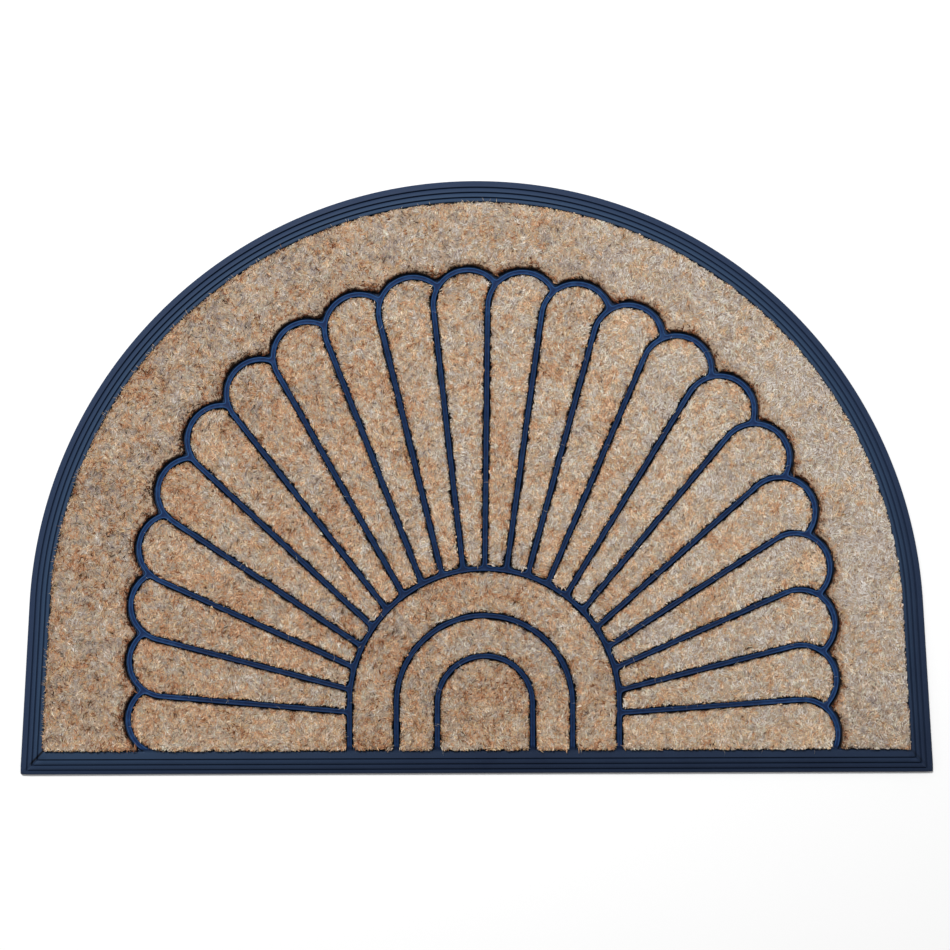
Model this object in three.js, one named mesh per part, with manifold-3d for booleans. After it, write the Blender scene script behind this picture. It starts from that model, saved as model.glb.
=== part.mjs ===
// Half round coir doormat: a one-piece moulded rubber tray, with a grooved border and raised ribs that draw
// a fan over three arches, and the coir pile panels that fill the places between the ribs. Millimetres,
// +Z up. The straight front edge faces -Y, and the origin lies under the middle of the mat's bounding box.
import * as THREE from 'three';
import { mergeVertices } from 'three/addons/utils/BufferGeometryUtils.js';
import Module from 'manifold-3d';

const wasm = await Module();
wasm.setup();

// Outline of the mat. y = 0 is the straight front edge until the whole mat is moved over its origin.
const matWidth = 700;
const arcRadius = 343;
const arcCentre = new THREE.Vector2(0, 110.9);
const cornerRadius = 2.4;
const leastCornerRadius = 0.3;
const outlineArcSteps = 64;
const matDepth = arcCentre.y + arcRadius;

// Heights above the ground
const floorTop = 3;
const ribTop = 7.5;
const pileTop = 10.5;

// Border of the tray, from its outer foot to the foot of its inner wall. "side" is the distance in from the
// half round edge and from the short sides, and "front" is the distance in from the front edge
const railWidth = 17.8;
const borderProfile = [
  { side: 0.0, front: 0.0, z: 0.0 },
  { side: 0.0, front: 0.0, z: 2.4 },
  { side: 0.8, front: 0.8, z: 3.4 },
  { side: 4.6, front: 2.7, z: 4.1 },
  { side: 5.2, front: 3.3, z: 3.3 },
  { side: 5.8, front: 3.9, z: 4.3 },
  { side: 8.6, front: 6.7, z: 4.6 },
  { side: 9.2, front: 7.3, z: 3.8 },
  { side: 9.8, front: 7.9, z: 4.8 },
  { side: 12.5, front: 10.8, z: 5.1 },
  { side: 13.1, front: 11.4, z: 4.3 },
  { side: 13.7, front: 12.0, z: 5.3 },
  { side: 16.6, front: railWidth, z: 5.5 },
  { side: 16.6, front: railWidth, z: floorTop },
];

// Ribs
const ribWidth = 4.2;
const ribRoot = 0.6;

// Arches, from the outer one to the inner one: half circles on straight legs that stand on the front rail
const archCentreY = 53.9;
const arches = [
  { name: 'outer', centreX: 6.1, radius: 103.1 },
  { name: 'middle', centreX: 6.1, radius: 67.3 },
  { name: 'inner', centreX: 6.5, radius: 36.4 },
];
const archSteps = 20;

// Fan: each ray runs from the outer arch to the round end of its petal, which it meets as a tangent. The
// centres of the round ends lie on a path like the mat's own edge: an arc drawn on into two splayed legs.
const petals = 22;
const tipRadius = 26.6;
const tipPathRadius = 242.3;
const tipPathCentre = new THREE.Vector2(4.8, 116.5);
const tipPathSplay = THREE.MathUtils.degToRad(1.5);
const tipPitch = 43.8;
const tipShift = 9.1;
const tipSwing = 3.5;
const tipLean = 1.5;
const footPitch = 16.9;
const footShift = 0.6;
const footSwing = 1.2;
const tipSteps = 12;
const neckSteps = 4;
const scallopSteps = 8;
const rootHalvings = 40;

// Coir panels
const clearance = 0.3;
const pileEdge = 1.3;
const pileCornerRadius = 3.4;
const pocketCornerRadius = 2.0;
const cornerSteps = 2;
const cornerShare = 0.45;
const mergeTolerance = 1e-4;

const rubber = new THREE.MeshStandardMaterial({ color: 0x2b3a52, roughness: 0.6, metalness: 0 });
const coir = new THREE.MeshStandardMaterial({ color: 0xb39a7b, roughness: 0.95, metalness: 0 });

const polar = (centre, radius, angle) => new THREE.Vector2(
  centre.x + radius * Math.cos(angle),
  centre.y + radius * Math.sin(angle),
);

const angleOf = (centre, point) => Math.atan2(point.y - centre.y, point.x - centre.x);

// Points on an arc, both ends included, by the way from one angle to the other that is under a full turn
function arcPoints(centre, radius, from, to, steps, clockwise) {
  const turn = Math.PI * 2;
  const sweep = clockwise ? -((((from - to) % turn) + turn) % turn) : (((to - from) % turn) + turn) % turn;
  return Array.from({ length: steps + 1 }, (_, i) => polar(centre, radius, from + (sweep * i) / steps));
}

// Where two circles meet, on the left of the way from the first centre to the second
function circlesMeet(centreA, radiusA, centreB, radiusB) {
  const apart = centreB.clone().sub(centreA);
  const distance = apart.length();
  const along = (distance ** 2 + radiusA ** 2 - radiusB ** 2) / (2 * distance);
  const aside = Math.sqrt(radiusA ** 2 - along ** 2);
  const unit = apart.normalize();
  return new THREE.Vector2(
    centreA.x + unit.x * along - unit.y * aside,
    centreA.y + unit.y * along + unit.x * aside,
  );
}

// How far a circle reaches to either side of its centre at a given level
const halfChord = (centre, radius, y) => Math.sqrt(radius ** 2 - (centre.y - y) ** 2);

// Rounds the flagged corners of an outline, over at most a set share of each edge beside them
function softened(outline, radius) {
  return outline.flatMap(({ point, corner }, i) => {
    if (!corner) return [point];
    const ends = [outline.at(i - 1).point, outline[(i + 1) % outline.length].point].map((next) => {
      const edge = next.clone().sub(point);
      return point.clone().add(edge.setLength(Math.min(radius, edge.length() * cornerShare)));
    });
    return new THREE.QuadraticBezierCurve(ends[0], point, ends[1]).getPoints(cornerSteps);
  });
}

const smooth = (points) => points.map((point) => ({ point, corner: false }));
const sharp = (...points) => points.map((point) => ({ point, corner: true }));

// Body between rings of equal length, each given counter-clockwise, from the lowest to the last
function loft(rings) {
  const count = rings[0].points.length;
  const positions = rings.flatMap(({ points, z }) => points.flatMap((p) => [p.x, p.y, z]));
  const index = [];
  for (let level = 0; level < rings.length - 1; level += 1) {
    for (let i = 0; i < count; i += 1) {
      const a = level * count + i;
      const b = level * count + ((i + 1) % count);
      index.push(a, b, b + count, a, b + count, a + count);
    }
  }
  const last = (rings.length - 1) * count;
  for (const [a, b, c] of THREE.ShapeUtils.triangulateShape(rings[0].points, [])) index.push(a, c, b);
  for (const [a, b, c] of THREE.ShapeUtils.triangulateShape(rings.at(-1).points, [])) {
    index.push(last + a, last + b, last + c);
  }
  const geometry = new THREE.BufferGeometry();
  geometry.setAttribute('position', new THREE.Float32BufferAttribute(positions, 3));
  geometry.setIndex(index);
  return geometry;
}

function prism(points, low, high) {
  const shape = new THREE.Shape(points);
  return new THREE.ExtrudeGeometry(shape, { depth: high - low, bevelEnabled: false }).translate(0, 0, low);
}

function solid(geometry) {
  const bare = geometry.clone();
  bare.deleteAttribute('normal');
  bare.deleteAttribute('uv');
  const merged = mergeVertices(bare, mergeTolerance);
  return new wasm.Manifold(new wasm.Mesh({
    numProp: 3,
    vertProperties: new Float32Array(merged.attributes.position.array),
    triVerts: new Uint32Array(merged.index.array),
  }));
}

function geometryOf(body) {
  const { vertProperties, triVerts } = body.getMesh();
  const geometry = new THREE.BufferGeometry();
  geometry.setAttribute('position', new THREE.BufferAttribute(vertProperties, 3));
  geometry.setIndex(new THREE.BufferAttribute(triVerts, 1));
  return geometry;
}

// Outline of the mat, drawn in by "side" along the arc and the short sides and by "front" along the front
// edge, counter-clockwise from the right front corner. The short sides run from the arc, as tangents to it,
// to the corners.
function matOutline(side, front) {
  const corner = new THREE.Vector2(matWidth / 2, 0);
  const splay = angleOf(arcCentre, corner) + Math.acos(arcRadius / corner.distanceTo(arcCentre));
  const radius = arcRadius - side;
  const touch = polar(arcCentre, radius, splay);
  const rightCorner = new THREE.Vector2(touch.x + (touch.y - front) * Math.tan(splay), front);
  const leftCorner = new THREE.Vector2(-rightCorner.x, front);
  const arc = arcPoints(arcCentre, radius, splay, Math.PI - splay, outlineArcSteps, false);
  const outline = [...sharp(rightCorner), ...smooth(arc), ...sharp(leftCorner)];
  return softened(outline, Math.max(cornerRadius - side, leastCornerRadius));
}

// A place on the outer arch, by the distance along it from its top, positive to the right
function archPlace(along) {
  const { centreX, radius } = arches[0];
  const quarter = (radius * Math.PI) / 2;
  const centre = new THREE.Vector2(centreX, archCentreY);
  if (Math.abs(along) < quarter) return polar(centre, radius, Math.PI / 2 - along / radius);
  return new THREE.Vector2(centreX + Math.sign(along) * radius, archCentreY + quarter - Math.abs(along));
}

// How far a point lies outside the middle of the outer arch's rib
function pastArch(point) {
  const { centreX, radius } = arches[0];
  if (point.y < archCentreY) return Math.abs(point.x - centreX) - radius;
  return point.distanceTo(new THREE.Vector2(centreX, archCentreY)) - radius;
}

// The centre of a petal's round end. The petals are widest on the shoulders of the fan, and those in its
// middle lean a little to the right.
function tipCentre(petal) {
  const middle = (petals - 1) / 2;
  const swing = tipSwing * Math.sin((4 * Math.PI * (petal - middle)) / (petals - 1));
  const lean = tipLean * Math.cos((2 * Math.PI * (petal - middle)) / petals);
  const along = tipPitch * (petal - middle) + tipShift - swing + lean;
  const arcEnd = tipPathRadius * (Math.PI / 2 - tipPathSplay);
  const onArc = Math.min(Math.abs(along), arcEnd) * Math.sign(along);
  const place = polar(tipPathCentre, tipPathRadius, Math.PI / 2 - onArc / tipPathRadius);
  const onLeg = Math.abs(along) - Math.abs(onArc);
  place.x += Math.sign(along) * onLeg * Math.sin(tipPathSplay);
  place.y -= onLeg * Math.cos(tipPathSplay);
  return place;
}

// Where a ray starts on the outer arch. The rays stand a little closer together at its top.
function rayFoot(petal) {
  const fromMiddle = petal - petals / 2;
  const swing = footSwing * Math.sin((2 * Math.PI * fromMiddle) / petals);
  return archPlace(footPitch * fromMiddle + footShift - swing);
}

// Each ray with the petal on its clockwise side. The first petal has the front rail in place of a ray.
const rays = Array.from({ length: petals }, (_, petal) => {
  const centre = tipCentre(petal);
  if (petal === 0) {
    const level = railWidth - ribWidth / 2;
    centre.y = level + tipRadius;
    return { centre, touch: new THREE.Vector2(centre.x, level), direction: new THREE.Vector2(-1, 0) };
  }
  const foot = rayFoot(petal);
  const toCentre = centre.clone().sub(foot);
  const reach = toCentre.length();
  const direction = toCentre.rotateAround(new THREE.Vector2(), Math.asin(tipRadius / reach)).normalize();
  const touch = foot.clone().addScaledVector(direction, Math.sqrt(reach ** 2 - tipRadius ** 2));
  return { centre, touch, direction };
});

const clockwiseOf = (direction) => new THREE.Vector2(direction.y, -direction.x);

// Where the line beside a ray's rib meets the side of the outer arch's rib, found by halving the way to it
function rayRoot(ray, aside, away) {
  const start = ray.touch.clone().addScaledVector(clockwiseOf(ray.direction), aside);
  let near = 0;
  let far = matDepth / 2;
  for (let halving = 0; halving < rootHalvings; halving += 1) {
    const middle = (near + far) / 2;
    if (pastArch(start.clone().addScaledVector(ray.direction, -middle)) > away) near = middle;
    else far = middle;
  }
  return start.addScaledVector(ray.direction, -near);
}

// Outline of one petal, "gap" in from the ribs around it. "sink" carries its foot on below the rail's edge.
function petalOutline(petal, gap, radius, sink) {
  const away = ribWidth / 2 + gap;
  const ray = rays[petal];
  const next = rays[petal + 1];
  const level = railWidth + gap;
  const legSide = (side) => arches[0].centreX + side * (arches[0].radius + away);
  const underRail = (right, left) => (sink ? smooth([
    new THREE.Vector2(right, level - sink),
    new THREE.Vector2(left, level - sink),
  ]) : []);
  const tipStart = angleOf(new THREE.Vector2(), clockwiseOf(ray.direction)) + Math.PI;
  const tipInner = tipRadius - away;
  const outline = [];
  if (petal === 0) {
    outline.push(...sharp(new THREE.Vector2(legSide(-1), level)));
    outline.push(...underRail(legSide(-1), ray.centre.x));
  } else {
    outline.push(...sharp(rayRoot(ray, away, away)));
  }
  if (next) {
    const meet = circlesMeet(ray.centre, tipInner, next.centre, tipRadius + away);
    const tip = arcPoints(ray.centre, tipInner, tipStart, angleOf(ray.centre, meet), tipSteps, true);
    const neckEnd = angleOf(new THREE.Vector2(), clockwiseOf(next.direction)) + Math.PI;
    const neckStart = angleOf(next.centre, meet);
    const neck = arcPoints(next.centre, tipRadius + away, neckStart, neckEnd, neckSteps, false);
    outline.push(...smooth(tip.slice(0, -1)), ...sharp(meet), ...smooth(neck.slice(1)));
    outline.push(...sharp(rayRoot(next, -away, away)));
  } else {
    const end = new THREE.Vector2(ray.centre.x + halfChord(ray.centre, tipInner, level), level);
    const tip = arcPoints(ray.centre, tipInner, tipStart, angleOf(ray.centre, end), tipSteps, true);
    outline.push(...smooth(tip.slice(0, -1)), ...sharp(end), ...underRail(end.x, legSide(1)));
    outline.push(...sharp(new THREE.Vector2(legSide(1), level)));
  }
  return softened(outline, radius).reverse();
}

// The scalloped line outside the petals' round ends, from the right foot of the fan to the left one
function scallopLine(away, level) {
  const reach = tipRadius + away;
  const first = rays[0].centre;
  const last = rays.at(-1).centre;
  const joints = rays.slice(1).map((ray, i) => circlesMeet(rays[i].centre, reach, ray.centre, reach));
  joints.unshift(new THREE.Vector2(first.x - halfChord(first, reach, level), level));
  joints.push(new THREE.Vector2(last.x + halfChord(last, reach, level), level));
  const scallops = rays.flatMap(({ centre }, i) => {
    const from = angleOf(centre, joints[i]);
    const to = angleOf(centre, joints[i + 1]);
    return arcPoints(centre, reach, from, to, scallopSteps, true).slice(i ? 1 : 0);
  });
  return scallops.reverse();
}

// The field between the fan and the border
function fieldOutline(gap, radius) {
  const level = railWidth + gap;
  const edge = matOutline(borderProfile.at(-1).side + gap, level);
  const line = scallopLine(ribWidth / 2 + gap, level);
  const fan = smooth(line.slice(1, -1));
  return softened([...smooth(edge), ...sharp(line.at(-1)), ...fan.reverse(), ...sharp(line[0])], radius);
}

// An arched band between two arches, or the core inside the last one
function archOutline(band, gap, radius, sink) {
  const away = ribWidth / 2 + gap;
  const level = railWidth + gap;
  const side = ({ centreX, radius: arch }, reach, steps) => {
    const arc = arcPoints(new THREE.Vector2(centreX, archCentreY), arch + reach, 0, Math.PI, steps, false);
    const right = new THREE.Vector2(arc[0].x, level);
    const left = new THREE.Vector2(arc.at(-1).x, level);
    return { right, left, arc };
  };
  const drop = (point) => new THREE.Vector2(point.x, level - sink);
  const outer = side(arches[band], -away, archSteps);
  const outline = [...sharp(outer.right), ...smooth(outer.arc), ...sharp(outer.left)];
  if (band === arches.length - 1) {
    if (sink) outline.push(...smooth([drop(outer.left), drop(outer.right)]));
    return softened(outline, radius);
  }
  const inner = side(arches[band + 1], away, archSteps);
  if (sink) outline.push(...smooth([drop(outer.left), drop(inner.left)]));
  outline.push(...sharp(inner.left), ...smooth(inner.arc.reverse()), ...sharp(inner.right));
  if (sink) outline.push(...smooth([drop(inner.right), drop(outer.right)]));
  return softened(outline, radius);
}

// Rubber tray: floor and border in one body, joined with the fan plate that the pockets are cut from
function rubberTray() {
  const rings = borderProfile.map(({ side, front, z }) => ({ points: matOutline(side, front), z }));
  const fan = scallopLine(ribWidth / 2, railWidth);
  fan.push(new THREE.Vector2(fan.at(-1).x, railWidth - ribRoot));
  fan.push(new THREE.Vector2(fan[0].x, railWidth - ribRoot));
  const plate = solid(prism(fan, floorTop - ribRoot, ribTop));
  const pocketTop = ribTop + ribRoot;
  const outlines = [
    ...rays.map((_, petal) => petalOutline(petal, 0, pocketCornerRadius, 2 * ribRoot)),
    ...arches.map((_, band) => archOutline(band, 0, pocketCornerRadius, 2 * ribRoot)),
  ];
  const ribs = outlines.reduce((body, points) => body.subtract(solid(prism(points, 0, pocketTop))), plate);
  return geometryOf(solid(loft(rings)).add(ribs));
}

// A coir panel: a flat slab of pile with a worn, rounded-off upper edge
function coirPanel(outlineAt) {
  const wall = outlineAt(clearance);
  return loft([
    { points: wall, z: floorTop + clearance },
    { points: wall, z: pileTop - pileEdge },
    { points: outlineAt(clearance + pileEdge), z: pileTop },
  ]);
}

const mat = new THREE.Group();

function addPiece(name, geometry, material) {
  const mesh = new THREE.Mesh(geometry, material.clone());
  mesh.name = name;
  mat.add(mesh);
}

addPiece('rubber_tray', rubberTray(), rubber);
addPiece('coir_field', coirPanel((gap) => fieldOutline(gap, pileCornerRadius)), coir);
rays.forEach((_, petal) => {
  const name = `coir_petal_${String(petal + 1).padStart(2, '0')}`;
  addPiece(name, coirPanel((gap) => petalOutline(petal, gap, pileCornerRadius, 0)), coir);
});
arches.forEach(({ name }, band) => {
  addPiece(`coir_arch_${name}`, coirPanel((gap) => archOutline(band, gap, pileCornerRadius, 0)), coir);
});

mat.position.y = -matDepth / 2;

export default mat;
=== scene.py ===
import math

import bpy
import numpy as np
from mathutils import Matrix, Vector, geometry, noise


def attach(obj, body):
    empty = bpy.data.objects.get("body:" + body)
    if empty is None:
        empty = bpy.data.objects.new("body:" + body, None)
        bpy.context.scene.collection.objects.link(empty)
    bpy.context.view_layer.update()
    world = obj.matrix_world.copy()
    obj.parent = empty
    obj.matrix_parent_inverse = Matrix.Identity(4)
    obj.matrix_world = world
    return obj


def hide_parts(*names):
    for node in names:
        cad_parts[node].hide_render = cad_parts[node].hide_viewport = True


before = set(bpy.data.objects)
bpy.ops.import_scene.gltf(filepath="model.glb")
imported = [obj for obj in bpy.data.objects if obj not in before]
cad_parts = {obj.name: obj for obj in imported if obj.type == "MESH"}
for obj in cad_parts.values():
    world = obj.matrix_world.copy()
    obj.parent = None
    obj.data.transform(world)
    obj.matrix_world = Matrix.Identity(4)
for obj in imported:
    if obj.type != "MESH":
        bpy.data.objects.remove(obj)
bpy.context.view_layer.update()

# Camera
# The mat lies flat on a pale floor and is seen from straight above, with its straight front edge
# at the foot of the picture, a touch higher at its right end. Sizes here are metres, and the turn is radians.
view_width = 0.7294
camera_height = 1.35
camera_place = (-0.0006, 0.0016, camera_height)
camera_turn = -0.0032
camera = bpy.data.objects.new("camera", bpy.data.cameras.new("camera"))
bpy.context.scene.collection.objects.link(camera)
camera.location = camera_place
camera.rotation_euler.z = camera_turn
camera.data.angle = 2 * math.atan(view_width / 2 / camera_height)
bpy.context.scene.camera = camera

# Rubber tray
# One moulding of dark blue rubber: a thin sheet, a grooved border mitred at its front corners, and the
# raised ribs that draw a fan over three arches. It comes out of a hot press with every edge a little round.
# Points of outlines are complex numbers x + iy in millimetres, with y = 0 at the mat's front edge.
mat_width = 700.0
arc_radius = 343.0
arc_centre = 110.9j
mat_depth = arc_centre.imag + arc_radius
tray_corner = 2.4
least_corner = 0.3
side_wall = 16.6
rail_width = 17.8
floor_z = 3.0
rail_z = 5.5
rib_z = 7.5
rib_width = 4.2
arch_centre_y = 53.9
arches = {"outer": (6.1, 103.1), "middle": (6.1, 67.3), "inner": (6.5, 36.4)}
petals = 22
tip_radius = 26.6
tip_path_centre = 4.8 + 116.5j
tip_path_radius = 242.3
tip_path_splay = math.radians(1.5)
tip_pitch = 43.8
tip_shift = 9.1
tip_swing = 3.5
tip_lean = 1.5
foot_pitch = 16.9
foot_shift = 0.6
foot_swing = 1.2
point_spacing = 2.6
pocket_corner = 2.0


def circles_meet(centre_a, radius_a, centre_b, radius_b):
    """Where two circles meet, on the left of the way from the first centre to the second."""
    apart = centre_b - centre_a
    along = (abs(apart) ** 2 + radius_a**2 - radius_b**2) / (2 * abs(apart))
    return centre_a + apart / abs(apart) * complex(along, math.sqrt(radius_a**2 - along**2))


def line(start, end):
    """A straight run of an outline, as a function from 0 to 1, with its length."""
    return lambda t: start + (end - start) * t, abs(end - start)


def arc(centre, radius, start, end, clockwise=False):
    """A round run of an outline between two of its points, as a function from 0 to 1, with its length."""
    first = np.angle(start - centre)
    last = np.angle(end - centre)
    sweep = -((first - last) % math.tau) if clockwise else (last - first) % math.tau
    return lambda t: centre + radius * np.exp(1j * (first + sweep * t)), abs(sweep) * radius


def half_chord(centre, radius, level):
    return math.sqrt(radius**2 - (centre.imag - level) ** 2)


def rounded(outline, corners, radius):
    """The closed outline with its points near each corner moved onto a curve that cuts it."""
    steps = np.abs(np.roll(outline, -1) - outline)
    places = np.concatenate([[0], np.cumsum(steps)])
    total = places[-1]
    ring = np.append(outline, outline[0])
    result = outline.copy()
    for corner in corners:
        before, after = ((places[corner] + side * radius) % total for side in (-1, 1))
        start, end = (
            complex(np.interp(place, places, ring.real), np.interp(place, places, ring.imag))
            for place in (before, after)
        )
        away = (places[:-1] - places[corner] + total / 2) % total - total / 2
        near = np.abs(away) < radius
        t = (away[near] + radius) / (2 * radius)
        result[near] = (1 - t) ** 2 * start + 2 * t * (1 - t) * outline[corner] + t**2 * end
    return result


class Outline:
    """A closed outline that can be drawn at any distance in from the edge of its place, counter-clockwise.
    Runs is a function of that distance that gives a list of runs; a run that starts in a corner has True."""

    def __init__(self, runs, spacing=point_spacing):
        self.runs = runs
        self.counts = [max(2, round(length / spacing)) for (_, length), _ in runs(0)]

    def at(self, gap, radius):
        pieces = [
            run(np.arange(count) / count) for ((run, _), _), count in zip(self.runs(gap), self.counts)
        ]
        starts = np.concatenate([[0], np.cumsum(self.counts)[:-1]])
        corners = [start for start, (_, corner) in zip(starts, self.runs(gap)) if corner]
        points = rounded(np.concatenate(pieces), corners, radius)
        area = (points.conjugate() * np.roll(points, -1)).imag.sum()
        return points if area > 0 else points[::-1]


def edge_runs(side, front):
    """The mat's own outline, drawn in by side along the round edge and by front along the straight one."""
    corner = complex(mat_width / 2, 0)
    splay = np.angle(corner - arc_centre) + math.acos(arc_radius / abs(corner - arc_centre))
    radius = arc_radius - side
    touch = arc_centre + radius * np.exp(1j * splay)
    right = complex(touch.real + (touch.imag - front) * math.tan(splay), front)
    left_touch = complex(-touch.real, touch.imag)
    left = complex(-right.real, front)
    return right, left, [
        (line(right, touch), True),
        (arc(arc_centre, radius, touch, left_touch), False),
        (line(left_touch, left), False),
    ]


def tip_centre(petal):
    middle = (petals - 1) / 2
    swing = tip_swing * math.sin(4 * math.pi * (petal - middle) / (petals - 1))
    lean = tip_lean * math.cos(math.tau * (petal - middle) / petals)
    along = tip_pitch * (petal - middle) + tip_shift - swing + lean
    arc_end = tip_path_radius * (math.pi / 2 - tip_path_splay)
    on_arc = math.copysign(min(abs(along), arc_end), along)
    place = tip_path_centre + tip_path_radius * np.exp(1j * (math.pi / 2 - on_arc / tip_path_radius))
    leg = math.copysign(math.sin(tip_path_splay), along) - 1j * math.cos(tip_path_splay)
    return place + (abs(along) - abs(on_arc)) * leg


def arch_place(along):
    """A place on the outer arch, by the distance along it from its top, positive to the right."""
    centre_x, radius = arches["outer"]
    quarter = radius * math.pi / 2
    if abs(along) < quarter:
        return complex(centre_x, arch_centre_y) + radius * np.exp(1j * (math.pi / 2 - along / radius))
    return complex(centre_x + math.copysign(radius, along), arch_centre_y + quarter - abs(along))


def ray(petal):
    """The round end of a petal, and the rib on its left as the point where it meets the end and its heading.
    The rail stands in for the first petal's rib."""
    centre = tip_centre(petal)
    if petal == 0:
        level = rail_width - rib_width / 2
        return complex(centre.real, level + tip_radius), complex(centre.real, level), -1 + 0j
    from_middle = petal - petals / 2
    swing = foot_swing * math.sin(math.tau * from_middle / petals)
    foot = arch_place(foot_pitch * from_middle + foot_shift - swing)
    reach = abs(centre - foot)
    heading = (centre - foot) / reach * np.exp(1j * math.asin(tip_radius / reach))
    return centre, foot + heading * math.sqrt(reach**2 - tip_radius**2), heading


rays = [ray(petal) for petal in range(petals)]


def ray_root(petal, aside, away):
    """Where the line beside a petal's left rib meets the side of the outer arch's rib, by halving."""
    centre_x, radius = arches["outer"]
    _, touch, heading = rays[petal]
    start = touch - 1j * heading * aside
    near, far = 0.0, mat_depth / 2
    close_enough = 1e-6
    while far - near > close_enough:
        point = start - heading * (near + far) / 2
        on_leg = point.imag < arch_centre_y
        past = abs(point.real - centre_x) if on_leg else abs(point - complex(centre_x, arch_centre_y))
        near, far = ((near + far) / 2, far) if past - radius > away else (near, (near + far) / 2)
    return start - heading * near


def petal_runs(petal):
    def runs(gap):
        away = rib_width / 2 + gap
        level = rail_width + gap
        centre_x, radius = arches["outer"]
        centre, _, heading = rays[petal]
        inner = tip_radius - away
        tip = centre + 1j * heading * inner
        root = ray_root(petal, away, away) if petal else complex(centre_x - radius - away, level)
        if petal == petals - 1:
            end = complex(centre.real + half_chord(centre, inner, level), level)
            foot = complex(centre_x + radius + away, level)
            return [
                (line(root, tip), True),
                (arc(centre, inner, tip, end, clockwise=True), False),
                (line(end, foot), True),
                (line(foot, root), True),
            ]
        next_centre, _, next_heading = rays[petal + 1]
        meet = circles_meet(centre, inner, next_centre, tip_radius + away)
        neck = next_centre + 1j * next_heading * (tip_radius + away)
        next_root = ray_root(petal + 1, -away, away)
        return [
            (line(root, tip), True),
            (arc(centre, inner, tip, meet, clockwise=True), False),
            (arc(next_centre, tip_radius + away, meet, neck), True),
            (line(neck, next_root), False),
            (line(next_root, root), True),
        ]

    return runs


def field_runs(gap, set_back=0.0):
    """The field's runs, with its scallops a little further from the fan where set_back is given."""
    level = rail_width + gap
    reach = tip_radius + rib_width / 2 + gap + set_back
    right, left, runs = edge_runs(side_wall + gap, level)
    centres = [centre for centre, _, _ in rays]
    meets = [circles_meet(a, reach, b, reach) for a, b in zip(centres, centres[1:])]
    left_foot = complex(centres[0].real - half_chord(centres[0], reach, level), level)
    right_foot = complex(centres[-1].real + half_chord(centres[-1], reach, level), level)
    stops = [left_foot, *meets, right_foot]
    scallops = [
        (arc(centre, reach, start, end, clockwise=True), True)
        for centre, start, end in zip(centres, stops, stops[1:])
    ]
    return [*runs, (line(left, left_foot), True), *scallops, (line(right_foot, right), True)]


def arch_runs(band):
    bounds = list(arches.values())[band : band + 2]

    def legs(gap, centre_x, radius):
        centre = complex(centre_x, arch_centre_y)
        level = rail_width + gap
        foot_right, foot_left = (complex(centre_x + side * radius, level) for side in (1, -1))
        return foot_right, centre + radius, centre, centre - radius, foot_left

    def runs(gap):
        away = rib_width / 2 + gap
        foot_right, right, centre, left, foot_left = legs(gap, bounds[0][0], bounds[0][1] - away)
        outer = [
            (line(foot_right, right), True),
            (arc(centre, right.real - centre.real, right, left), False),
            (line(left, foot_left), False),
        ]
        if len(bounds) == 1:
            return [*outer, (line(foot_left, foot_right), True)]
        in_right, high_right, centre, high_left, in_left = legs(gap, bounds[1][0], bounds[1][1] + away)
        return [
            *outer,
            (line(foot_left, in_left), True),
            (line(in_left, high_left), True),
            (arc(centre, high_right.real - centre.real, high_left, high_right, clockwise=True), False),
            (line(high_right, in_right), False),
            (line(in_right, foot_right), True),
        ]

    return runs


panels = {"coir_field": Outline(field_runs)}
panels |= {f"coir_petal_{petal + 1:02d}": Outline(petal_runs(petal)) for petal in range(petals)}
panels |= {f"coir_arch_{name}": Outline(arch_runs(band)) for band, name in enumerate(arches)}


def inset(points):
    """How far points lie in from the border's outer edge, on the scale of its sides."""
    right, _, runs = edge_runs(0, 0)
    (side, _), _ = runs[0]
    touch = side(1.0)
    inward = 1j * (touch - right) / abs(touch - right)
    folded = np.abs(points.real) + 1j * points.imag
    from_side = ((folded - right) * inward.conjugate()).real
    from_arc = arc_radius - np.abs(points - arc_centre)
    from_round = np.where(points.imag > touch.imag, from_arc, from_side)
    return np.minimum(from_round, points.imag - rail_width + side_wall)


def smooth_step(value):
    value = np.clip(value, 0, 1)
    return value * value * (3 - 2 * value)


class Skin:
    """A closed surface gathered ring by ring, from the outside of the piece inwards, in millimetres."""

    def __init__(self):
        self.points = np.empty((0, 3))
        self.faces = []

    def add(self, outline, z):
        """Adds points and gives their numbers."""
        first = len(self.points)
        added = np.column_stack([outline.real, outline.imag, np.broadcast_to(z, len(outline))])
        self.points = np.concatenate([self.points, added])
        return np.arange(first, len(self.points))

    def wall(self, outer, inner):
        self.faces.append(np.column_stack([outer, np.roll(outer, -1), np.roll(inner, -1), inner]))
        return inner

    def cap(self, ring, holes=(), inner=(), down=False):
        """Fills a ring, around holes and through inner points, with triangles."""
        loops = [ring, *holes]
        numbers = np.concatenate([*loops, np.array(inner, int)])
        ends = np.cumsum([len(loop) for loop in loops])
        merge_distance = 1e-7
        borders = [list(range(end - len(loop), end)) for end, loop in zip(ends, loops)]
        flat = [Vector(point) for point in self.points[numbers, :2]]
        filled = geometry.delaunay_2d_cdt(flat, [], borders, 1, merge_distance, True)
        _, _, faces, sources, _, inside = filled
        wanted = np.array([face for face, within in zip(faces, inside) if list(within) == [0]])
        origin = np.array([source[0] for source in sources])
        triangles = numbers[origin[wanted]]
        self.faces.append(triangles[:, ::-1] if down else triangles)


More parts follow.
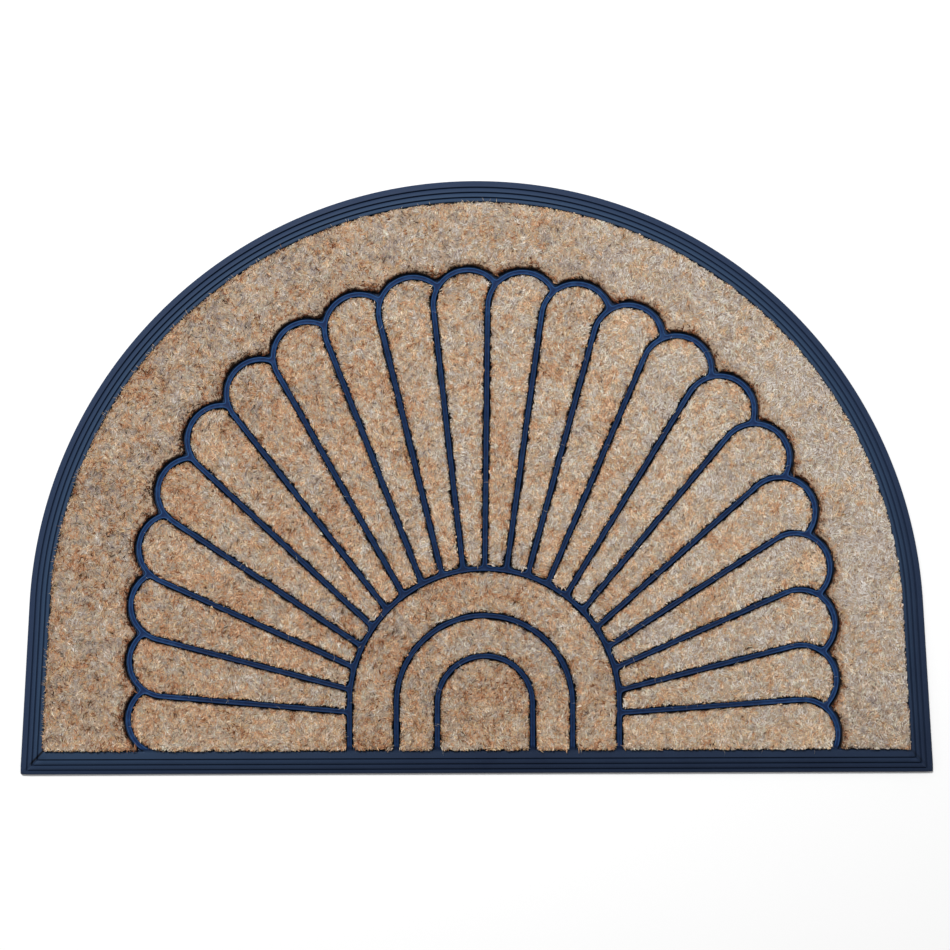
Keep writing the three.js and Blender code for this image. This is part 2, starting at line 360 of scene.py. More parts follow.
def piece(name, points, faces, sharp_above=None):
    """A mesh object on the root body, from points in millimetres and arrays of faces."""
    mesh = bpy.data.meshes.new(name)
    sizes = np.concatenate([np.full(len(group), group.shape[1]) for group in faces])
    mesh.vertices.add(len(points))
    mesh.vertices.foreach_set("co", ((points - (0, mat_depth / 2, 0)) * 0.001).ravel())
    mesh.loops.add(int(sizes.sum()))
    mesh.loops.foreach_set("vertex_index", np.concatenate([group.ravel() for group in faces]))
    mesh.polygons.add(len(sizes))
    mesh.polygons.foreach_set("loop_start", np.concatenate([[0], np.cumsum(sizes)[:-1]]))
    mesh.update(calc_edges=True)
    mesh.validate()
    mesh.shade_smooth()
    if sharp_above:
        mesh.set_sharp_from_angle(angle=math.radians(sharp_above))
    made = bpy.data.objects.new(name, mesh)
    bpy.context.scene.collection.objects.link(made)
    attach(made, "root")
    return made


# Across the border: each ridge between two grooves has round shoulders, as drops at steps from a groove
grooves = [(5.2, 3.3, 4.2), (9.2, 7.3, 4.7), (13.1, 11.4, 5.2)]
shoulder = [(0.0, 1.9), (0.3, 1.6), (0.5, 0.45), (0.75, 0.06)]
outer_edge = [(0.0, 0.0, 0.0), (0.0, 0.0, 2.3), (0.3, 0.3, 3.0), (1.0, 1.0, 3.5)]
inner_edge = (14.5, 15.4, 5.5)
border = list(outer_edge)
for side, front, z in grooves:
    border += [(side - step, front - step, z - drop - 0.1) for step, drop in shoulder[:0:-1]]
    border += [(side + step, front + step, z - drop) for step, drop in shoulder]
border.append(inner_edge)
# The mitre: how deep it is cut, how far it reaches to each side of a corner, and where across the border it
# starts, has its full depth and ends
mitre_depth = 0.5
mitre_reach = 0.9
mitre_start = 6.0
mitre_full = 9.0
mitre_end = 14.2
mitre_steps = mitre_reach * np.array([0.0, 0.5, 1.0])
# Points along each straight side, the round edge and the front edge
side_steps = 16
round_steps = 220
front_steps = 80


def border_ring(side, front, z):
    """The mat's outline drawn in across the border, and its heights, with a mitre cut at both corners."""
    right, left, runs = edge_runs(side, front)
    lines = [run for run, _ in runs] + [line(left, right)]
    (up, up_length), (over, _), (down, down_length), (back, back_length) = lines
    parts = [
        up(np.append(mitre_steps / up_length, np.linspace(0.05, 1, side_steps, endpoint=False))),
        over(np.arange(round_steps) / round_steps),
        down(np.append(np.linspace(0, 0.95, side_steps), 1 - mitre_steps[:0:-1] / down_length)),
        back(np.append(mitre_steps / back_length, np.linspace(0.01, 0.99, front_steps))),
        back(1 - mitre_steps[:0:-1] / back_length),
    ]
    points = np.concatenate(parts)
    corners = [0, sum(len(part) for part in parts[:3])]
    away = np.min([np.abs(points - corner) for corner in (right, left)], axis=0)
    share = smooth_step((side - mitre_start) / (mitre_full - mitre_start)) * (side < mitre_end)
    cut = mitre_depth * share * np.clip(1 - away / mitre_reach, 0, 1)
    return rounded(points, corners, max(tray_corner - side, least_corner)), z - cut


# Across a rib's side: how far out from the pocket, the drop below the rib's top, and the dip along its middle
rib_edge = [
    (-1.75, 0.0, 0.35),
    (-1.3, 0.0, 0.25),
    (-0.95, 0.0, 0.0),
    (-0.6, 0.12, 0.0),
    (-0.35, 0.5, 0.0),
    (-0.15, 1.1, 0.0),
    (0.0, 2.0, 0.0),
]
rib_foot = 0.15
# A rib grows out of the border from a little outside the border's inner wall to a few millimetres inside it
growth_start = 0.4
growth_length = 3.1

tray_skin = Skin()
rings = [tray_skin.add(*border_ring(side, front, z)) for side, front, z in border]
tray_skin.cap(rings[0], down=True)
for outer, inner in zip(rings, rings[1:]):
    tray_skin.wall(outer, inner)
crests = []
for panel in panels.values():
    pocket = []
    for gap, drop, dip in rib_edge:
        outline = panel.at(gap, pocket_corner - gap)
        rise = smooth_step((inset(outline) - side_wall + growth_start) / growth_length)
        pocket.append(tray_skin.add(outline, rail_z + (rib_z - rail_z - dip) * rise - drop))
    pocket.append(tray_skin.add(panel.at(rib_foot, pocket_corner), floor_z))
    for outer, inner in zip(pocket, pocket[1:]):
        tray_skin.wall(outer, inner)
    tray_skin.cap(pocket[-1])
    crests.append(pocket[0])
tray_skin.cap(rings[-1], holes=crests)
tray = piece("moulded_rubber_tray", tray_skin.points, tray_skin.faces, sharp_above=50)
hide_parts("rubber_tray")


class Shade:
    """The output of a shader node, for use in sums."""

    def __init__(self, recipe, socket):
        self.recipe = recipe
        self.socket = socket

    def maths(self, operation, first, second):
        return self.recipe.node("ShaderNodeMath", {"operation": operation}, {0: first, 1: second})

    def __add__(self, other):
        return self.maths("ADD", self, other)

    def __sub__(self, other):
        return self.maths("SUBTRACT", self, other)

    def __mul__(self, other):
        return self.maths("MULTIPLY", self, other)

    __radd__ = __add__
    __rmul__ = __mul__

    def __rsub__(self, other):
        return self.maths("SUBTRACT", other, self)

    def __abs__(self):
        return self.maths("ABSOLUTE", self, 0.0)


class Recipe:
    """A procedural material and the means to add nodes to it."""

    def __init__(self, name):
        self.material = bpy.data.materials.new(name)
        self.material.use_nodes = True
        self.shader = self.material.node_tree.nodes["Principled BSDF"]

    def connect(self, socket, value):
        if isinstance(value, Shade):
            self.material.node_tree.links.new(value.socket, socket)
        else:
            socket.default_value = value

    def node(self, kind, settings, inputs, output=0):
        """Adds a node: its settings first, then the values or links of its sockets. A colour ramp's stops are
        listed as pairs of place and colour, with the two that every ramp has first."""
        made = self.material.node_tree.nodes.new(kind)
        for name, value in settings.items():
            if name == "stops":
                for index, (place, colour) in enumerate(value):
                    ends = made.color_ramp.elements
                    stop = ends[index] if index < 2 else ends.new(place)
                    stop.position = place
                    stop.color = (*colour, 1)
            else:
                setattr(made, name, value)
        for name, value in inputs.items():
            self.connect(made.inputs[name], value)
        return Shade(self, made.outputs[output])

    def noise(self, where, scale, detail=3.0, roughness=0.55):
        sizes = {"Scale": scale, "Detail": detail, "Roughness": roughness}
        return self.node("ShaderNodeTexNoise", {}, {"Vector": where, **sizes})

    def between(self, value, low, high):
        """Zero below one value, one above another, and even between."""
        ends = {"From Min": low, "From Max": high}
        return self.node("ShaderNodeMapRange", {}, {"Value": value, **ends})

    def mix(self, share, first, second):
        colours = {"Factor": share, 6: first, 7: second}
        return self.node("ShaderNodeMix", {"data_type": "RGBA"}, colours, output=2)

    def set(self, **sockets):
        for name, value in sockets.items():
            self.connect(self.shader.inputs[name.replace("_", " ")], value)
        return self.material


# Moulded rubber: matt navy, bluer on the ribs, flecked with pale dust. Light and shade are painted into it: a
# highlight along the ribs' shoulders, shade down their sides and on the ribs of the rays, and on the border a
# lighter upper left where the key falls, most on its higher ridges, with its grooves left darker. Places in
# materials are metres from the middle.
half_width = mat_width / 2000
half_depth = mat_depth / 2000
rubber = Recipe("moulded_rubber")
place = rubber.node("ShaderNodeTexCoord", {}, {}, output="Object")
height = rubber.node("ShaderNodeSeparateXYZ", {}, {"Vector": place}, output="Z")
across = rubber.node("ShaderNodeSeparateXYZ", {}, {"Vector": place}, output="X")
along = rubber.node("ShaderNodeSeparateXYZ", {}, {"Vector": place}, output="Y")
cloudy = rubber.noise(place, 28.0)
grain = rubber.noise(place, 900.0, detail=4.0)
rib_share = rubber.between(height, 0.0056, 0.0068)
# Painted light: the border is lighter towards the back and the sides, most on the left, where the key light
# falls
lit_upper_left = rubber.between(along + 0.35 * abs(across) - 0.25 * across + 0.12 * cloudy, -0.20, 0.10)
outer_blue = rubber.mix(lit_upper_left, (0.010, 0.018, 0.041, 1), (0.018, 0.032, 0.070, 1))
inner_blue = rubber.mix(lit_upper_left, (0.011, 0.019, 0.044, 1), (0.025, 0.049, 0.096, 1))
# Painted light and shade: where lit, the higher ridges by the coir are paler than the low ones, and the
# grooves stay darker
border_blue = rubber.mix(rubber.between(height, 0.0039, 0.0050), outer_blue, inner_blue)
above_fan_foot = along + 0.110
# Painted shade: the ribs of the rays, inside the fan's end, are darker, as shade under the coir that
# overhangs them
fan_end_unshaded = rubber.between(across * across + above_fan_foot * above_fan_foot, 0.048, 0.056)
rib_dark = rubber.mix(fan_end_unshaded, (0.003, 0.011, 0.042, 1), (0.004, 0.016, 0.064, 1))
rib_sheen_and_wear = rubber.mix(fan_end_unshaded, (0.012, 0.040, 0.118, 1), (0.022, 0.070, 0.185, 1))
worn = rubber.between(rubber.noise(place, 240.0), 0.45, 0.70)
# Painted highlight: the rib's raised shoulders either side of its middle dip are lighter; worn patches
# lighten it too
shoulder_highlight = rubber.between(height, 0.00722, 0.00748) * (0.5 + cloudy) + 0.4 * worn
# Painted shade: a rib's sides, below its top, are darkened almost to black
flank_shade = rib_share * (1 - rubber.between(height, 0.0066, 0.0071))
rib_top = rubber.mix(shoulder_highlight, rib_dark, rib_sheen_and_wear)
rib_blue = rubber.mix(0.8 * flank_shade, rib_top, (0.002, 0.004, 0.012, 1))
dust = rubber.between(grain, 0.60, 0.75) * 0.25
from_left = rubber.between(across, -0.3, 0.3)
from_mitre = abs(abs(across) - half_width + (along + half_depth))
mitre_line = (1 - rubber.between(from_mitre, 0.0006, 0.0016)) * (1 - 0.6 * from_left) * (1 - rib_share)
in_mitre = mitre_line * (1 - 0.75 * rubber.between(abs(across), 0.3405, 0.3425))
plain_blue = rubber.mix(in_mitre, rubber.mix(rib_share, border_blue, rib_blue), (0.003, 0.004, 0.008, 1))
blue = rubber.mix(dust, plain_blue, (0.045, 0.085, 0.14, 1))
bump = rubber.node(
    "ShaderNodeBump", {}, {"Strength": 0.35, "Distance": 0.0003, "Height": grain + 0.6 * cloudy}
)
rubber.set(Base_Color=blue, Roughness=0.5 + 0.25 * cloudy, Specular_IOR_Level=0.13, Normal=bump)
tray.data.materials.append(rubber.material)


# Coir panels
# Short coir pile set into each place between the ribs: one field, the petals and three arch panels. Their
# tops stand a few millimetres above the ribs, their edges are cut roughly and their corners are round.
panel_corner = 3.6
panel_crown = 0.15
lump_height = 0.45
lump_spacing = 3.0
fan_set_back = 0.9
# Across a panel's side: how far in from the rib's side its surface stands, and its height
panel_shoulder = [(0.35, 3.3), (0.8, 6.2), (1.1, 7.4), (1.6, 8.3), (2.4, 8.7)]
# The cut edge wanders in and out above this height, about this far set back, and never further out than this
ragged_above = 4.0
wander_middle = 0.15
least_wander = -0.5
edge_wander = [(0.8, 3.0, 7.0), (0.7, 8.0, 5.0)]
coir_outlines = panels | {"coir_field": Outline(lambda gap: field_runs(gap, set_back=fan_set_back))}


def unevenness(points, size, seed):
    """Soft noise from about -1 to 1 at each point, with lumps of the given size in millimetres."""
    return np.array([2 * noise.noise((x / size, y / size, seed)) for x, y in zip(points.real, points.imag)])


def layers(points, rows):
    """The sum of soft noises, given as rows: how strong, how large its lumps are in millimetres, its seed."""
    return sum(strength * unevenness(points, size, seed) for strength, size, seed in rows)


def ragged(points):
    """How far the cut edge of the pile is set back at each point."""
    return wander_middle + np.maximum(layers(points, edge_wander), least_wander)


def broad_lumps(points):
    """The broad lumps of the pile, which the panel and the fibres on it share."""
    return unevenness(points, 9.0, 3.0)


def reach(points, outline):
    """For each point, whether it lies inside an outline, how far from it, and the way to it."""
    starts, ends = outline, np.roll(outline, -1)
    edges = ends - starts
    inside = np.zeros(len(points), bool)
    distance = np.empty(len(points))
    way = np.empty(len(points), complex)
    pairs_at_once = 2_000_000
    block = max(1, pairs_at_once // len(outline))
    for first in range(0, len(points), block):
        part = points[first : first + block, None]
        share = ((part - starts) * edges.conjugate()).real / np.abs(edges) ** 2
        gaps = starts + edges * np.clip(share, 0, 1) - part
        nearest = np.abs(gaps).argmin(axis=1)
        gap = gaps[np.arange(len(part)), nearest]
        crossed = (starts.imag > part.imag) != (ends.imag > part.imag)
        height = np.where(edges.imag == 0, 1, edges.imag)
        at = starts.real + (part.imag - starts.imag) * edges.real / height
        inside[first : first + block] = (crossed & (part.real < at)).sum(axis=1) % 2 == 1
        distance[first : first + block] = np.abs(gap)
        way[first : first + block] = gap / np.maximum(np.abs(gap), 1e-9)
    return inside, distance, way


def scattered(outline, spacing, random):
    """Points all over the rectangle round an outline, one in each square of the given side."""
    across, along = (
        np.arange(values.min(), values.max() + spacing, spacing) for values in (outline.real, outline.imag)
    )
    grid = (across[None, :] + 1j * along[:, None]).ravel()
    shift = random.uniform(-0.5, 0.5, (2, len(grid)))
    return grid + spacing * (shift[0] + 1j * shift[1])


def panel_skin(panel, random):
    """The body of a panel: a flat underside, a ragged side with a round shoulder, and a softly lumpy top."""
    skin = Skin()
    rings = []
    for gap, z in panel_shoulder:
        outline = panel.at(gap, panel_corner)
        along = np.roll(outline, -1) - np.roll(outline, 1)
        set_back = ragged(outline) if z > ragged_above else 0
        rings.append(skin.add(outline + 1j * along / np.abs(along) * set_back, z))
    skin.cap(rings[0], down=True)
    for outer, inner in zip(rings, rings[1:]):
        skin.wall(outer, inner)
    points = scattered(outline, lump_spacing, random)
    inside, distance, _ = reach(points, outline)
    points = points[inside & (distance > 0.4 * lump_spacing)]
    lumps = lump_height * (0.6 * broad_lumps(points) + 0.4 * random.uniform(-1, 1, len(points)))
    skin.cap(rings[-1], inner=skin.add(points, panel_shoulder[-1][1] + panel_crown + lumps))
    return skin


# Under-pile: the feet of the fibres, brown darkened as painted shade between them, with darker gaps as
# painted shade between clumps, and the red-brown cut sides darkened lower down as painted shade
under = Recipe("coir_under_pile")
place = under.node("ShaderNodeTexCoord", {}, {}, output="Object")
clumps = under.noise(place, 420.0, detail=5.0, roughness=0.65)
drift = under.noise(place, 14.0)
brown = under.node(
    "ShaderNodeValToRGB",
    {"stops": [(0.30, (0.07, 0.04, 0.025)), (0.72, (0.50, 0.38, 0.27)), (0.48, (0.34, 0.245, 0.17))]},
    {"Fac": clumps + 0.25 * drift - 0.12},
)
up = under.node("ShaderNodeSeparateXYZ", {}, {"Vector": place}, output="Z")
# Painted shade: below the pile's foot the cut sides turn dark red-brown
feet = under.mix(under.between(up, 0.0062, 0.0084), (0.040, 0.016, 0.007, 1), brown)
bump = under.node("ShaderNodeBump", {}, {"Strength": 0.8, "Distance": 0.0008, "Height": clumps})
under.set(Base_Color=feet, Roughness=0.95, Normal=bump)


# Coir pile
# The pile itself: stiff fibres of coconut husk, cut short, each lying or leaning its own way. They are pale
# straw, orange-brown and grey, darker towards the foot, and scorched along the field's edge round the fan,
# where painted shade darkens them further.
fibre_spacing = 0.84
rim_spacing = 0.6
pile_foot = 8.5
pile_top = 10.9
fibre_lean = (1.8, 6.0)
fibre_rise = (0.3, 1.3)
fibre_width = (0.4, 0.75)
edge_gap = 0.3
sinking_edge = 1.8
edge_sink = 0.6
scorch_sink = 0.4
rim_fibre_foot = (6.4, 8.7)
rim_fibre_top = 10.2
rim_fibre_length = (0.4, 1.3)
rim_fibre_width = (0.3, 0.5)
stray_length = 4.0
stray_clumps = [(1.0, 9.0, 63.0)]


def fibre_colours():
    """Colours by two numbers held in the fibres' own map: how light, and how warm, which runs from grey
    through pale straw, pinkish tan and yellow straw to rust."""
    pile = Recipe("coir_fibres")
    uv = pile.node("ShaderNodeUVMap", {"uv_map": "OFBake"}, {}, output="UV")
    light = pile.node("ShaderNodeSeparateXYZ", {}, {"Vector": uv}, output="X")
    warm = pile.node("ShaderNodeSeparateXYZ", {}, {"Vector": uv}, output="Y")
    dark, middle, pale = (
        pile.node("ShaderNodeValToRGB", {"stops": stops}, {"Fac": warm})
        for stops in (
            [
                (0.00, (0.150, 0.110, 0.112)),
                (1.00, (0.150, 0.043, 0.017)),
                (0.25, (0.150, 0.120, 0.075)),
                (0.50, (0.170, 0.083, 0.066)),
                (0.75, (0.160, 0.085, 0.035)),
            ],
            [
                (0.00, (0.402, 0.331, 0.287)),
                (1.00, (0.466, 0.232, 0.122)),
                (0.25, (0.419, 0.369, 0.267)),
                (0.50, (0.480, 0.332, 0.254)),
                (0.75, (0.512, 0.349, 0.177)),
            ],
            [
                (0.00, (0.86, 0.82, 0.775)),
                (1.00, (0.92, 0.69, 0.47)),
                (0.25, (0.87, 0.855, 0.68)),
                (0.50, (0.93, 0.82, 0.73)),
                (0.75, (0.93, 0.80, 0.595)),
            ],
        )
    )
    shaded = pile.mix(pile.between(light, 0.0, 0.2), (0.012, 0.006, 0.003, 1), dark)
    lit = pile.mix(pile.between(light, 0.2, 0.5), shaded, middle)
    straw = pile.mix(pile.between(light, 0.5, 1.0), lit, pale)
    pile.set(Base_Color=straw, Roughness=0.9, Specular_IOR_Level=0.1)
    return pile.material


fibre_finish = fibre_colours()
blade_sag = 0.12
blade_faces = [(0, 1, 3), (0, 3, 2)]
stalk_faces = [(2, 1, 4), (3, 2, 4), (1, 3, 4), (1, 2, 0), (2, 3, 0), (3, 1, 0)]
foot_shade = 0.5


def fibre_blades(foot, tip, bend, width):
    """Four points for each blade-shaped fibre: its foot, its two sides a little below its ridge, its tip."""
    along = tip - foot
    side = np.cross(along, (0, 0, 1))
    side /= np.linalg.norm(side, axis=1)[:, None]
    middle = (foot + tip) / 2 - (0, 0, blade_sag) + side * bend[:, None]
    half = side * width[:, None] / 2
    return np.stack([foot, middle + half, middle - half, tip], axis=1)


def fibre_stalks(foot, tip, bend, bow, width):
    """Five points for each round fibre: its foot, three round its thick middle, and its tip."""
    along = tip - foot
    along /= np.linalg.norm(along, axis=1)[:, None]
    side = np.cross(along, (0, 0, 1))
    side /= np.linalg.norm(side, axis=1)[:, None]
    lift = np.cross(side, along)
    middle = (foot + tip) / 2 + side * bend[:, None] + lift * bow[:, None]
    round_it = [
        middle + width[:, None] / 2 * (side * math.cos(turn) + lift * math.sin(turn))
        for turn in (math.pi / 2, math.pi * 7 / 6, math.pi * 11 / 6)
    ]
    return np.stack([foot, *round_it, tip], axis=1)


def pile_piece(name, groups):
    """One mesh of groups of fibres, each its points, light and warm, with those two numbers in its map."""
    points, faces, marks = [], [], []
    first = 0
    for body, light, warm in groups:
        count, corners = body.shape[:2]
        pattern = np.array(blade_faces if corners == 4 else stalk_faces)
        faces.append((pattern[None] + first + corners * np.arange(count)[:, None, None]).reshape(-1, 3))
        fade = np.ones(corners)
        fade[0] = foot_shade
        marks.append(np.stack([light[:, None] * fade, warm[:, None] + 0 * fade], axis=2).reshape(-1, 2))
        points.append(body.reshape(-1, 3))
        first += count * corners
    made = piece(name, np.concatenate(points), faces)
    layer = made.data.uv_layers.new(name="OFBake")
    order = np.concatenate(faces).ravel()
    layer.data.foreach_set("uv", np.clip(np.concatenate(marks), 0.01, 0.99)[order].ravel())
    made.data.materials.append(fibre_finish)
    return made


beside_border = 7.0


def by_border(points):
    """One beside the round border and the sides, a half beside the front rail, and nothing elsewhere."""
    share = np.where(points.imag < rail_width + beside_border, 0.5, 1.0)
    return share * (inset(points) < side_wall + beside_border)


def fan_edge(points):
    """How far points lie outside the round ends of the petals."""
    return np.min([np.abs(points - centre) for centre, _, _ in rays], axis=0) - tip_radius - rib_width / 2


def standing(low, places, ends, rise):
    """Feet and tips in space from places in plan."""
    foot = np.column_stack([places.real, places.imag, low])
    tip = np.column_stack([ends.real, ends.imag, np.minimum(low + rise, pile_top)])
    return foot, tip


scorch_start = 3.7
scorch_fade = 2.1
scorch_wander = [(0.8, 7.0, 51.0)]
scorch_patches = [(0.5, 16.0, 53.0)]


def scorch(name, feet, way):
    """How far a fibre stands in the scorched band along the field's edge round the fan, from 0 to about 1,
    and how dark it is painted there: scorched, and darker still with painted shade where the edge looks
    towards the front of the mat, away from the key light."""
    if name != "coir_field":
        return np.zeros(len(feet)), np.zeros(len(feet))
    from_fan = fan_edge(feet) - scorch_start + layers(feet, scorch_wander)
    band = np.exp(-((np.maximum(from_fan, 0) / scorch_fade) ** 2)) * (1 + layers(feet, scorch_patches))
    return band, band * (0.75 + 0.25 * np.clip(-way.imag, 0, 1))


light_patches = [(0.05, 46.0, 11.0), (0.07, 15.0, 41.0), (0.115, 6.5, 17.0), (0.115, 3.0, 29.0)]
warm_patches = [(0.26, 40.0, 23.0), (0.34, 13.0, 43.0), (0.46, 5.5, 31.0), (0.42, 2.8, 37.0)]
specks = [(1.0, 2.3, 61.0)]
straw_warm = 0.78
# How far in from an edge the shade beside a rib, and the straw tone beside the border, have mostly faded
shaded_edge = 2.2
straw_edge = 6.0


def tones(name, feet, edge, way):
    """The light and warm of fibres by where they stand. The pile is painted lighter to the right, most
    towards the back, and a little darker at the front and back, as a fall-off of the light; it is warmer to
    the left and in the fan, and straw-coloured beside the border and along the front. Patches, tufts and
    specks of other tones cover it, and its edges beside the ribs are darker with painted shade."""
    across = feet.real / (mat_width / 2)
    along = feet.imag / mat_depth
    # Painted light: lighter to the right, most towards the back, and darker at the front and back
    light = 0.594 + 0.13 * across + 0.135 * across * (along - 0.45) - 0.025 * (1 - 2 * along) ** 2
    light += 0.03 * ("petal" in name) - 0.05 * ("arch" in name)
    light += layers(feet, light_patches) * (0.86 - 0.12 * across)
    warm = 0.31 - 0.24 * across + 0.24 * ("petal" in name) + 0.30 * ("arch" in name)
    warm += layers(feet, warm_patches)
    speck = np.clip((-layers(feet, specks) - 0.85) / 0.2, 0, 1)
    band, scorch_and_shade = scorch(name, feet, way)
    near = np.exp(-((edge / shaded_edge) ** 2)) * (1 - np.minimum(band, 1)) * (by_border(feet) == 0)
    straw = np.exp(-((edge / straw_edge) ** 2)) * by_border(feet) * (0.55 - 0.45 * across)
    straw = np.maximum(straw, 0.36 * np.exp(-(((along - 0.04) / 0.1) ** 2)))
    # Painted shade darkens the scorched band and the edges beside the ribs
    light -= 0.46 * scorch_and_shade + 0.12 * near + 0.25 * speck
    warm += (straw_warm - warm) * straw
    return light, warm + 0.95 * band + 0.2 * near + 0.3 * speck


swirls = [(1.1, 18.0, 1.0), (0.9, 5.0, 3.0)]
turned_share = 0.4
gap_shade_share = 0.06


def body_fibres(name, outline, random):
    """The fibres all over a panel. They lie in swirls, some turned about, and stop short of its edge."""
    feet = scattered(outline, fibre_spacing, random)
    inside, edge, way = reach(feet, outline)
    kept = inside & (edge > edge_gap + ragged(feet))
    feet, edge, way = (values[kept] for values in (feet, edge, way))
    count = len(feet)
    heading = math.pi / 2 + layers(feet, swirls)
    heading += random.normal(0, 0.6, count)
    heading += math.pi * (random.random(count) < turned_share)
    direction = np.exp(1j * heading)
    outward = np.maximum((direction * way.conjugate()).real, 0.15)
    rim = np.clip(1 - edge / sinking_edge, 0, 1)
    room = np.maximum(edge - ragged(feet) - edge_gap, 0.2)
    lean = np.minimum(random.uniform(*fibre_lean, count), room / outward)
    middle = feet + 0.5 * lean * direction
    low = pile_foot + 0.35 * broad_lumps(feet) + random.uniform(-0.2, 0.3, count)
    low -= edge_sink * rim + scorch_sink * scorch(name, middle, way)[1]
    rise = random.uniform(*fibre_rise, count)
    foot, tip = standing(low, feet, feet + lean * direction, rise)
    body = fibre_blades(foot, tip, random.normal(0, 0.4, count), random.uniform(*fibre_width, count))
    light, warm = tones(name, middle, edge, way)
    # Painted shade: a few fibres are made dark, as the shade of gaps in the pile
    light += random.normal(0, 0.12, count) - 0.22 * (random.random(count) < gap_shade_share)
    return body, light, warm + random.normal(0, 0.22, count)


def rim_fibres(name, panel, random):
    """Fibres along the cut edge that lean out over the gap beside the rib. On the left and at the top of the
    mat, clumps of longer strays reach over the border."""
    outline = panel.at(0.45, panel_corner)
    steps = np.abs(np.roll(outline, -1) - outline)
    places = np.concatenate([[0], np.cumsum(steps)])
    where = np.arange(0, places[-1], rim_spacing)
    where = (where + random.uniform(0, rim_spacing, len(where))) % places[-1]
    ring = np.append(outline, outline[0])
    at = np.interp(where, places, ring.real) + 1j * np.interp(where, places, ring.imag)
    ahead = (where + 0.5) % places[-1]
    onward = np.interp(ahead, places, ring.real) + 1j * np.interp(ahead, places, ring.imag) - at
    outward = -1j * onward / np.abs(onward)
    count = len(at)
    feet = at - outward * (ragged(at) + random.uniform(0.4, 1.2, count))
    ways = outward * np.exp(1j * random.normal(0, 0.9, count))
    low = random.uniform(*rim_fibre_foot, count)
    rise = np.minimum(random.uniform(-0.3, 1.3, count), rim_fibre_top - low)
    to_left = np.clip(0.3 - at.real / (mat_width / 2), 0, 1)
    clump = np.clip(0.3 + layers(at, stray_clumps), 0, 1) * to_left
    stray = (by_border(at) == 1) * (random.random(count) < clump)
    length = random.uniform(*rim_fibre_length, count) + random.uniform(0, stray_length, count) * stray
    foot, tip = standing(low, feet, feet + ways * length, rise)
    bend, bow = random.normal(0, 0.2, count), random.uniform(0, 0.25, count)
    body = fibre_stalks(foot, tip, bend, bow, random.uniform(*rim_fibre_width, count))
    # Painted light: rim fibres that face the back of the mat, towards the key light, are lighter
    light = 0.40 + 0.12 * np.clip(outward.imag, 0, 1) + random.normal(0, 0.14, count)
    warm = 0.6 + random.normal(0, 0.2, count)
    band, scorch_and_shade = scorch(name, at, outward)
    return body, light + 0.16 * (by_border(at) == 1) - 0.25 * scorch_and_shade, warm + 0.4 * band


def halves(group):
    """A group of fibres parted at the mat's middle, left and right."""
    left = group[0][:, 0, 0] < 0
    return [tuple(values[side] for values in group) for side in (left, ~left)]


# Each panel's area is worked out in square metres, and a petal's or arch panel's outline is turned in steps
# of
# 2 degrees.
turns = np.radians(np.arange(0, 90, 2))
for index, (name, panel) in enumerate(coir_outlines.items()):
    random = np.random.default_rng(100 + index)
    skin = panel_skin(panel, random)
    slab = piece(name.replace("coir", "panel"), skin.points, skin.faces)
    slab.data.materials.append(under.material)
    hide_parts(name)
    outline = panel.at(0.35, panel_corner)
    groups = [body_fibres(name, outline, random), rim_fibres(name, panel, random)]
    label = name.replace("coir", "pile")
    area = abs((outline.conjugate() * np.roll(outline, -1)).imag.sum()) / 2 * 0.001**2
    if name == "coir_field":
        sides = zip(("left", "right"), zip(*(halves(group) for group in groups)))
        pile = [pile_piece(f"{label}_{side}", half) for side, half in sides]
    else:
        pile = [pile_piece(label, groups)]
        turned = 0.001 * outline[:, None] * np.exp(1j * turns)


# Loose hairs
# Long pale fibres that have worked loose along the cut edges and lie across the ribs and over the border.
hair_count = 170
hair_length = (2.5, 8.0)
hair_width = (0.12, 0.24)
hair_foot = (8.9, 9.8)


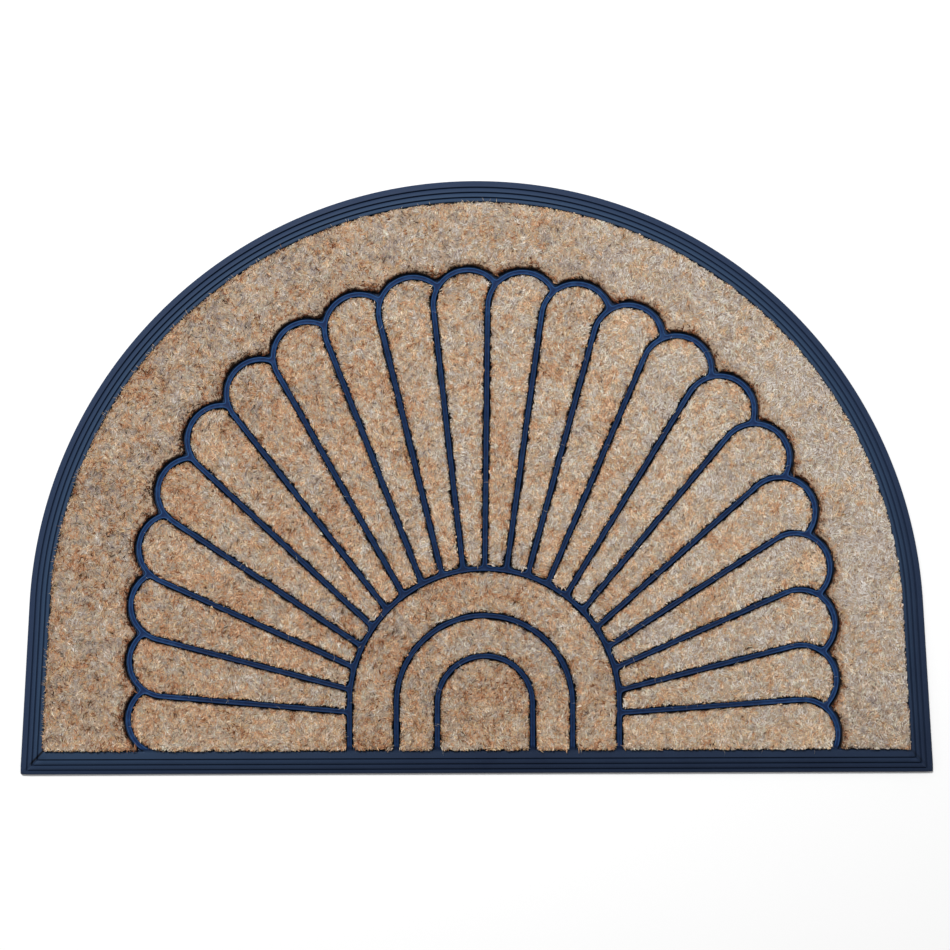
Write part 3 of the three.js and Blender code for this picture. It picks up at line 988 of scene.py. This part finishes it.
def loose_hairs(random):
    """The hairs as one group of fibres, each from a place on some panel's edge."""
    outlines = list(coir_outlines.values())
    starts, ways = [], []
    for _ in range(hair_count):
        outline = outlines[random.integers(len(outlines))].at(0.6, panel_corner)
        index = random.integers(len(outline) - 1)
        onward = outline[index + 1] - outline[index]
        outward = -1j * onward / abs(onward)
        starts.append(outline[index] - outward * random.uniform(0.3, 2.0))
        ways.append(outward * np.exp(1j * random.normal(0, 1.1)))
    starts, ways = np.array(starts), np.array(ways)
    ends = starts + ways * random.uniform(*hair_length, hair_count)
    over_border = inset(ends) < rail_width
    low = random.uniform(*hair_foot, hair_count)
    hanging = random.uniform(-3.0, -1.0, hair_count)
    rise = np.where(over_border, hanging, random.uniform(-0.8, 0.6, hair_count))
    foot, tip = standing(low, starts, ends, rise)
    bend, bow = random.normal(0, 0.7, hair_count), random.uniform(0.1, 0.7, hair_count)
    body = fibre_stalks(foot, tip, bend, bow, random.uniform(*hair_width, hair_count))
    return body, random.uniform(0.5, 0.9, hair_count), random.uniform(0.1, 0.6, hair_count)


pile_piece("loose_coir_hairs", [loose_hairs(np.random.default_rng(7))])


# Floor and light
# A pale floor and a soft studio key from beyond the round edge, a little to the left, with weak fill.
floor_reach = 6000.0
floor_drop = 0.05
corners = floor_reach * np.array([(-1, -1, 0), (1, -1, 0), (1, 1, 0), (-1, 1, 0)]) - (0, 0, floor_drop)
floor = piece("floor", corners, [np.array([[0, 1, 2, 3]])])
pale = Recipe("pale_floor")
pale.set(Base_Color=(0.93, 0.93, 0.93, 1), Roughness=0.9)
floor.data.materials.append(pale.material)


def area_light(name, place, size, power):
    lamp = bpy.data.lights.new(name, "AREA")
    lamp.shape = "DISK"
    lamp.size = size
    lamp.energy = power
    made = bpy.data.objects.new(name, lamp)
    made.location = place
    made.rotation_euler = (-Vector(place)).to_track_quat("-Z", "Y").to_euler()
    bpy.context.scene.collection.objects.link(made)


area_light("key", place=(-0.5, 1.3, 2.4), size=0.5, power=74)
world = bpy.data.worlds.new("studio")
world.use_nodes = True
world.node_tree.nodes["Background"].inputs["Color"].default_value = (1, 1, 1, 1)
world.node_tree.nodes["Background"].inputs["Strength"].default_value = 0.38
bpy.context.scene.world = world
bpy.context.scene.view_settings.view_transform = "Standard"
